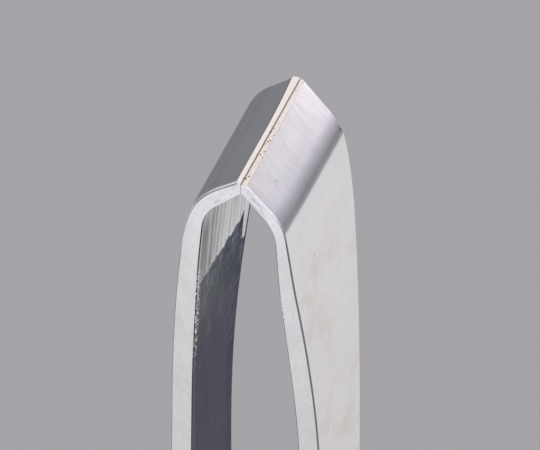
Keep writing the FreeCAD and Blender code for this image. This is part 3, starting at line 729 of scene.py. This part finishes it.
def inner_mat(name, ground_s, dark=(0.115, 0.115, 0.137), light=(0.622, 0.622, 0.632)):
    """Inside of a blade: dark as-heat-treated skin, ground bright from the tip down to a ragged line."""
    mt, nt, b = new_mat(name, dark, 1.0, 0.35)
    g = G(nt)
    u, v = g.xy(g.uv(10, 10))                      # mm along the blade, mm across
    near, far = g.xy(g.uv(10, 10, name="rim"))     # mm from the near and far edge
    streak = g.noise(g.uv(0.35, 7.5), 4.0, 4.0, 0.66)    # runs along the blade
    streak2 = g.noise(g.uv(0.12, 12, (3, 0, 0)), 4.0, 2.0, 0.5)
    rag = g.noise(g.uv(0.7, 14, (7, 1, 0)), 4.0, 5.0, 0.75)
    # ragged limit of the grinding; the outermost strip on the far side stays light for longer
    lim = g.math("ADD", g.math("MULTIPLY", v, ground_s[1]), ground_s[0])
    lim = g.math("ADD", lim, g.rng(rag, 0.3, 0.7, -0.30, 0.26))
    tongue = g.math("MULTIPLY", g.rng(far, 0.22, 0.34, 0, 1), g.rng(far, 0.70, 1.0, 1, 0))
    lim = g.math("ADD", lim, g.math("MULTIPLY", tongue, 1.75))
    notch = g.math("MULTIPLY", g.rng(far, 0.86, 1.0, 0, 1), g.rng(far, 1.05, 1.5, 1, 0))
    lim = g.math("SUBTRACT", lim, g.math("MULTIPLY", notch, 0.25))
    lim = g.math("SUBTRACT", lim, g.rng(far, 0.18, 0.26, 4.0, 0))
    edge = g.math("SUBTRACT", lim, u)              # positive on the ground part
    mask = g.rng(edge, -0.05, 0.10, 0, 1)
    # burr along the grinding line; its near-white colour is a painted highlight
    burr_and_glint = g.rng(g.math("ABSOLUTE", g.math("SUBTRACT", edge, 0.05)), 0.0, 0.16, 1, 0)
    burr_and_glint = g.math("MULTIPLY", burr_and_glint, g.rng(g.noise(g.uv(7, 26, (2, 6, 0)), 5.0, 2.0, 0.6), 0.42, 0.54, 0, 1))
    ground = g.mix(g.rng(streak, 0.38, 0.62, 0, 1), tuple(c * 0.72 for c in light), tuple(min(1, c * 1.18) for c in light))
    ground = g.mix(g.rng(streak2, 0.38, 0.62, 0, 0.55), ground, tuple(min(1, c * 1.38) for c in light))
    low = g.math("MULTIPLY", g.rng(u, 2.6, 4.6, 0, 1), g.rng(near, 0.9, 3.4, 1, 0.25))
    ground = shade(g, ground, low, (0.54, 0.53, 0.525))
    ground = shade(g, ground, g.math("MULTIPLY", low, g.rng(streak, 0.44, 0.56, 0.9, 0)), (0.50, 0.50, 0.50))
    scr = g.noise(g.uv(0.9, 13, (1, 0, 0)), 4.0, 4.0, 0.65)
    dirty = g.noise(g.uv(1.6, 5, (6, 2, 0)), 3.0, 5.0, 0.65)
    darkc = g.mix(g.rng(scr, 0.35, 0.75, 0, 1), tuple(c * 0.92 for c in dark), tuple(c * 1.14 for c in dark))
    close = g.rng(edge, -4.5, -0.8, 0, 1)
    darkc = g.mix(close, darkc, tuple(c * k for c, k in zip(dark, (0.54, 0.68, 0.66))))
    lines = g.noise(g.uv(0.2, 34, (8, 2, 0)), 4.0, 2.0, 0.5)
    strip = g.rng(far, 0.85, 1.0, 1, 0)
    darkc = shade(g, darkc, g.math("MULTIPLY", strip, g.rng(lines, 0.40, 0.60, 0.15, 0.8)), (0.74, 0.76, 0.82))
    smear = g.noise(g.uv(2.2, 3.2, (4, 8, 0)), 3.0, 5.0, 0.7)
    smear = g.math("MULTIPLY", g.rng(smear, 0.34, 0.62, 0.25, 0.95), g.math("MULTIPLY", g.rng(near, 2.2, 4.4, 1, 0.15), g.rng(edge, -5.5, -2.0, 0, 1)))
    darkc = g.mix(smear, darkc, (0.185, 0.200, 0.182))
    near_line = g.rng(edge, -2.2, -0.1, 0, 1)      # smeared just below the grinding
    darkc = g.mix(g.math("MULTIPLY", g.rng(dirty, 0.44, 0.58, 0, 0.5), near_line), darkc, tuple(c * 2.6 for c in dark))
    dab = g.noise(g.uv(3.5, 6.5, (2, 11, 0)), 4.0, 4.0, 0.7)
    darkc = g.mix(g.math("MULTIPLY", g.rng(dab, 0.55, 0.64, 0, 0.6), g.rng(edge, -3.0, -0.2, 0, 1)), darkc, tuple(c * 4.2 for c in dark))
    for turn, loc, amt in ((113, (2, 7, 0), 0.8), (101, (5, 1, 0), 0.6), (8, (1, 4, 0), 0.35)):
        mp = g.n("ShaderNodeMapping", vector_type="TEXTURE")
        mp.inputs["Rotation"].default_value = (0, 0, math.radians(turn))
        mp.inputs["Scale"].default_value = (0.45, 0.022, 1)
        g.link(g.uv(1, 1, loc), mp.inputs["Vector"])
        hair = g.noise(mp.outputs["Vector"], 2.2, 1.0, 0.5)
        where = g.noise(g.uv(1, 2, (9 + loc[0], 2, 0)), 3.0, 2.0, 0.5)
        hair = g.math("MULTIPLY", g.rng(hair, 0.60, 0.70, 0, amt), g.rng(where, 0.44, 0.56, 0, 1))
        hair = g.math("MULTIPLY", hair, g.rng(edge, -7.5, -1.5, 0.14, 1))
        darkc = g.mix(hair, darkc, tuple(c * k for c, k in zip(dark, (3.6, 3.7, 3.3))))
    soot = g.noise(g.uv(3.0, 9, (12, 3, 0)), 3.0, 4.0, 0.65)
    darkc = shade(g, darkc, g.math("MULTIPLY", g.rng(soot, 0.50, 0.62, 0, 0.8), g.rng(edge, -2.6, -0.3, 0, 1)), (0.38, 0.44, 0.50))
    base = g.mix(mask, darkc, ground)
    # painted shadow: a thin dark line along the inner rim next to the near face
    rim_shadow_line = g.math("MULTIPLY", g.rng(g.math("ADD", near, g.rng(rag, 0.3, 0.7, -0.1, 0.1)), 0.26, 0.42, 1, 0), g.rng(u, 2.6, 4.0, 0, 0.85))
    base = g.mix(rim_shadow_line, base, (0.16, 0.16, 0.17))
    shine = g.math("MULTIPLY", g.rng(g.math("ABSOLUTE", g.math("SUBTRACT", near, 0.20)), 0.03, 0.09, 1, 0), g.rng(u, 3.4, 4.4, 0, 1))
    shine = g.math("MULTIPLY", shine, g.rng(edge, -0.4, 0.6, 0, 1))
    base = g.mix(g.math("MULTIPLY", shine, 0.8), base, (0.85, 0.85, 0.85))
    base = g.mix(g.math("MULTIPLY", burr_and_glint, 0.9), base, (0.97, 0.97, 0.97))
    # crumbs of burr along the near edge, down to a little below the grinding
    crumbs = g.noise(g.uv(9, 11, (5, 5, 0)), 5.0, 3.0, 0.7)
    strip = g.math("MULTIPLY", g.math("SUBTRACT", g.rng(near, 0.34, 0.55, 1, 0), g.rng(edge, -5.4, -3.2, 0.5, 0)), g.rng(edge, -6.4, -4.6, 0, 1))
    strip = g.math("MULTIPLY", strip, g.rng(edge, 0.6, 1.4, 1, 0))
    cr = g.math("MULTIPLY", g.rng(crumbs, 0.52, 0.57, 0, 1), strip)
    base = g.mix(cr, base, (0.94, 0.94, 0.92))
    g.link(base, b.inputs["Base Color"])
    g.link(g.rng(mask, 0, 1, 0.30, 0.42), b.inputs["Roughness"])
    tint = g.mix(g.math("MAXIMUM", mask, g.math("MAXIMUM", burr_and_glint, cr)), (0.42, 0.42, 0.445), (1.0, 1.0, 1.0))
    g.link(tint, b.inputs["Specular Tint"])
    h = g.math("ADD", g.math("MULTIPLY", streak, mask), g.math("MULTIPLY", scr, 0.3))
    h = g.math("ADD", h, g.math("MULTIPLY", g.math("ADD", burr_and_glint, cr), 1.5))
    g.link(g.bump(h, 0.35, 0.000012), b.inputs["Normal"])
    return mt


def bevel_mat(name, bright, low, change, lined):
    """Broken edges: a painted highlight on the jaw, painted shade lower down."""
    mt, nt, b = new_mat(name, bright, 1.0, 0.20)
    g = G(nt)
    u, v = g.xy(g.uv(10, 10))
    near, far = g.xy(g.uv(10, 10, name="rim"))
    grain = g.noise(g.uv(14, 60, (1, 4, 0)), 4.0, 3.0, 0.6)
    # painted highlight colour on the jaw, painted shade colour lower down
    base = g.mix(g.rng(u, change - 0.5, change + 0.5, 0, 1), bright, low)
    base = g.mix(g.rng(grain, 0.35, 0.7, 0.3, 0), base, tuple(c * 0.7 for c in low))
    if lined:                                      # thin painted shade line where the broken edge meets the side
        line = g.math("MULTIPLY", g.rng(near, 0.012, 0.03, 1, 0), g.rng(u, 4.5, 6.0, 1, 0))
        base = g.mix(g.math("MULTIPLY", line, 0.85), base, (0.20, 0.20, 0.23))
    g.link(base, b.inputs["Base Color"])
    g.link(g.bump(grain, 0.2, 0.000006), b.inputs["Normal"])
    return mt


STEEL = (0.665, 0.655, 0.665)
mats_by_side = {}
for side in ("left", "right"):
    sd = 0.0 if side == "left" else 11.0
    left = side == "left"
    mats_by_side[side] = [
        satin(side + "_face", (0.615, 0.615, 0.65) if left else STEEL, 0.16 if left else 0.13, 0.035 if left else 0.03, sd,
              warm=0.0 if left else 0.42, scratch=0.0 if left else 0.26, specks=1.0 if left else -0.25,
              tone=left_tone if left else right_tone, rim=0.66 if left else 1.0,
              bend=None if left else (1.4, 2.4, 4.4, 5.4, 0.06)),
        satin(side + "_edge", (0.764, 0.757, 0.760), 0.26, 0.09, sd + 2, specks=-0.35, tone=edge_tone if left else edge_tone_right, frost=0.35),
        bevel_mat(side + "_bevel", (0.97, 0.955, 0.99) if left else (0.97, 0.96, 0.98), (0.27, 0.265, 0.275) if left else (0.38, 0.38, 0.40), 6.5 if left else 3.6, left),
        land_mat(side + "_land", SIDES[side]["land"], 0.0 if left else 0.95, left),
        inner_mat(side + "_inner", (8.33, 0.135)),
        satin(side + "_heel", STEEL, 0.3, 0.05, sd + 6),
    ]

blades = {}
for side in ("left", "right"):
    ob = make_mesh(side + "_blade", *build_blade(side), mats_by_side[side])
    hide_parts(side + "_arm")
    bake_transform(ob)
    blades[side] = ob

def build_seam():
    """Welded heel end: both tails run into one rounded block, level with their faces."""
    heights = [1.0, 0.92, 0.84, 0.74, 0.64, 0.54, 0.44, 0.36, 0.29, 0.23, 0.17, 0.12, 0.075, 0.04, 0.015, 0.0]
    nose, corner = 0.34, 0.07
    verts, uvs, rims, faces, rows = [], [], [], [], []
    for z in heights:
        cut = nose - math.sqrt(max(0.0, nose ** 2 - max(0.0, nose - z) ** 2))
        xh = THICK - cut
        yh = HEEL - HEEL_R + math.sqrt(max(0.0, HEEL_R ** 2 - (HEEL_R - z) ** 2))
        row = []

        def put(x, y):
            verts.append((x * MM, y * MM, z * MM))
            uvs.append((0.3 + (1.0 - z) / 10.0 + x * 0.02, y / 10.0))
            rims.append(((y + yh) / 10.0, (yh - y) / 10.0))
            row.append(len(verts) - 1)

        quarter = [(math.cos(a), math.sin(a)) for a in (math.pi / 2 * k / 4 for k in range(5))]
        for k in range(25):                      # far side is walked last, so start on the +X face
            put(xh, -(yh - corner) + 2 * (yh - corner) * k / 24)
        for c_, s_ in quarter[1:]:
            put(xh - corner + corner * c_, yh - corner + corner * s_)
        for k in range(1, 13):
            put((xh - corner) * (1 - 2 * k / 12), yh)
        for s_, c_ in quarter[1:]:
            put(-(xh - corner) - corner * c_, yh - corner + corner * s_)
        for k in range(1, 25):
            put(-xh, (yh - corner) - 2 * (yh - corner) * k / 24)
        for c_, s_ in quarter[1:]:
            put(-(xh - corner) - corner * c_, -(yh - corner) - corner * s_)
        for k in range(1, 13):
            put(-(xh - corner) * (1 - 2 * k / 12), -yh)
        for s_, c_ in quarter[1:-1]:
            put((xh - corner) + corner * c_, -(yh - corner) - corner * s_)
        rows.append(row)
    w = len(rows[0])
    for a_, b_ in zip(rows, rows[1:]):
        for j in range(w):
            k = (j + 1) % w
            faces.append((a_[k], a_[j], b_[j], b_[k]))
    faces.append(tuple(rows[0]))
    faces.append(tuple(reversed(rows[-1])))
    return verts, faces, uvs, rims


def seam_mat(name):
    """Weld bead, ground nearly flush: faint ripples, a straw to blue heat tint above it, small pores."""
    mt, nt, b = new_mat(name, (0.62, 0.60, 0.60), 1.0, 0.36)
    g = G(nt)
    tc = g.n("ShaderNodeTexCoord")
    mp = g.n("ShaderNodeMapping")
    mp.inputs["Scale"].default_value = (1000, 1000, 1000)
    g.link(tc.outputs["Object"], mp.inputs["Vector"])
    co = mp.outputs["Vector"]
    s3 = g.n("ShaderNodeSeparateXYZ")
    g.link(co, s3.inputs[0])
    x, y, z = s3.outputs
    wob = g.noise(co, 1.6, 3.0, 0.6)
    ripple = g.math("SINE", g.math("ADD", g.math("MULTIPLY", y, 17.0), g.math("MULTIPLY", wob, 6.0)))
    grind = g.noise(co, 14.0, 4.0, 0.65)
    base = g.mix(g.rng(wob, 0.35, 0.65, 0, 1), (0.56, 0.545, 0.545), (0.68, 0.665, 0.66))
    tint = g.rng(g.math("ADD", z, g.rng(wob, 0.3, 0.7, -0.15, 0.15)), 0.62, 1.0, 0, 0.8)
    base = g.mix(tint, base, (0.52, 0.44, 0.34))
    band = g.rng(g.math("ABSOLUTE", g.math("SUBTRACT", z, 0.62)), 0.0, 0.12, 0.45, 0)
    base = g.mix(band, base, (0.34, 0.34, 0.45))
    pore = g.n("ShaderNodeTexVoronoi", feature="F1")
    pore.inputs["Scale"].default_value = 2.3
    g.link(co, pore.inputs["Vector"])
    hole = g.math("MULTIPLY", g.rng(pore.outputs["Distance"], 0.07, 0.14, 1, 0), g.rng(wob, 0.5, 0.56, 0, 1))
    base = g.mix(hole, base, (0.12, 0.11, 0.11))
    g.link(base, b.inputs["Base Color"])
    g.link(g.rng(grind, 0.3, 0.7, 0.28, 0.46), b.inputs["Roughness"])
    h = g.math("ADD", g.math("MULTIPLY", ripple, 0.5), g.math("MULTIPLY", grind, 0.5))
    h = g.math("SUBTRACT", h, hole)
    g.link(g.bump(h, 0.5, 0.00002), b.inputs["Normal"])
    return mt


sv, sf, su, sr = build_seam()
seam_me = bpy.data.meshes.new("heel_seam")
seam_me.from_pydata(sv, [], sf)
seam_me.materials.append(seam_mat("weld_face"))
for title, table in (("blade", su), ("rim", sr)):
    layer = seam_me.uv_layers.new(name=title)
    for li, loop in enumerate(seam_me.loops):
        layer.data[li].uv = table[loop.vertex_index]
seam_me.polygons.foreach_set("use_smooth", [True] * len(seam_me.polygons))
seam_me.update()
seam_me.set_sharp_from_angle(angle=math.radians(35))
seam = bpy.data.objects.new("heel_seam", seam_me)
bpy.context.scene.collection.objects.link(seam)
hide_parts("heel_weld")
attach(seam, "heel")

# ----------------------------------------------------------------------------
# Stage, light, camera
# ----------------------------------------------------------------------------
fl = bpy.data.meshes.new("floor")
S = 6.0
fl.from_pydata([(-S, -S, 0), (S, -S, 0), (S, S, 0), (-S, S, 0)], [], [(0, 1, 2, 3)])
floor = bpy.data.objects.new("floor", fl)
bpy.context.scene.collection.objects.link(floor)
fm, fnt, fb = new_mat("floor_paper", (0.40, 0.40, 0.415), 0.0, 0.9)
fl.materials.append(fm)

world = bpy.data.worlds.new("studio")
bpy.context.scene.world = world
world.use_nodes = True
wn = G(world.node_tree)
bg = world.node_tree.nodes["Background"]
tc = wn.n("ShaderNodeTexCoord")
sep = wn.n("ShaderNodeSeparateXYZ")
wn.link(tc.outputs["Generated"], sep.inputs[0])
DX, DY, DZ = sep.outputs
# a dim room with a big soft white canopy overhead that comes down lower on the right
room = wn.ramp(DZ, [(0.0, (0.33, 0.33, 0.35)), (0.30, (0.345, 0.345, 0.365)), (0.62, (0.95, 0.94, 0.96)), (1.0, (1.0, 0.97, 0.94))])
wall = wn.ramp(DZ, [(0.0, (0.31, 0.31, 0.34)), (0.07, (0.36, 0.355, 0.385)), (0.37, (0.63, 0.62, 0.66)), (0.58, (0.93, 0.91, 0.95)),
                    (0.68, (1.12, 1.10, 1.13)), (1.0, (1.0, 0.97, 0.94))])
front = wn.ramp(DZ, [(0.0, (0.60, 0.60, 0.64)), (0.28, (1.12, 1.10, 1.20)), (0.62, (0.95, 0.94, 0.96)), (1.0, (1.0, 0.97, 0.94))])
sky = wn.mix(wn.rng(DX, 0.05, 0.45, 0, 1), wn.mix(wn.rng(DY, -0.20, -0.42, 0, 1), room, front), wall)
wn.link(sky, bg.inputs["Color"])
bg.inputs["Strength"].default_value = 1.0


def area(name, loc, target, size, power, color=(1, 1, 1)):
    ld = bpy.data.lights.new(name, "AREA")
    ld.shape = "RECTANGLE"
    ld.size, ld.size_y = size
    ld.energy = power
    ld.color = color
    lo = bpy.data.objects.new(name, ld)
    lo.location = loc
    d = Vector(target) - Vector(loc)
    lo.rotation_euler = d.to_track_quat("-Z", "Y").to_euler()
    lo.visible_camera = False
    bpy.context.scene.collection.objects.link(lo)
    return lo


RIGHT_W, FRONT_W = 0.60, 0.56


def panel(name, x0, x1, y0, y1, radiance, color):
    """A light panel that lies on the floor and shines up."""
    cx, cy = (x0 + x1) / 2, (y0 + y1) / 2
    return area(name, (cx, cy, 0.002), (cx, cy, 1.0), (y1 - y0, x1 - x0), (x1 - x0) * (y1 - y0) * math.pi * radiance, color)


panel("right_panel", 0.015, 0.33, 0.0, 0.37, RIGHT_W, (1.0, 0.99, 0.985))
panel("front_panel", -0.62, 0.03, -0.60, -0.012, FRONT_W, (0.98, 0.985, 1.0))

AZ, EL = math.radians(25.0), math.radians(31.0)
PX = 18.1                                   # picture points per mm
right_v = Vector((math.cos(AZ), math.sin(AZ), 0))
up_v = Vector((-math.sin(AZ) * math.sin(EL), math.cos(AZ) * math.sin(EL), math.cos(EL)))
back_v = Vector((math.sin(AZ) * math.cos(EL), -math.cos(AZ) * math.cos(EL), math.sin(EL)))
anchor = Vector((0, 0, 92.052))
target = anchor + right_v * ((270 - 266.8) / PX) - up_v * ((225 - 154.05) / PX)
cam = bpy.data.cameras.new("camera")
cam.lens = 900.0
cam.sensor_width = 36.0
cam_o = bpy.data.objects.new("camera", cam)
bpy.context.scene.collection.objects.link(cam_o)
dist_mm = (540 / PX) / (2 * math.tan(math.atan(18.0 / cam.lens)))
cam_o.location = (target + back_v * dist_mm) * MM
cam_o.rotation_mode = "QUATERNION"
cam_o.rotation_quaternion = back_v.to_track_quat("Z", "Y")
cam.clip_start, cam.clip_end = 0.01, 30.0
bpy.context.scene.camera = cam_o
bpy.context.scene.view_settings.view_transform = "Standard"
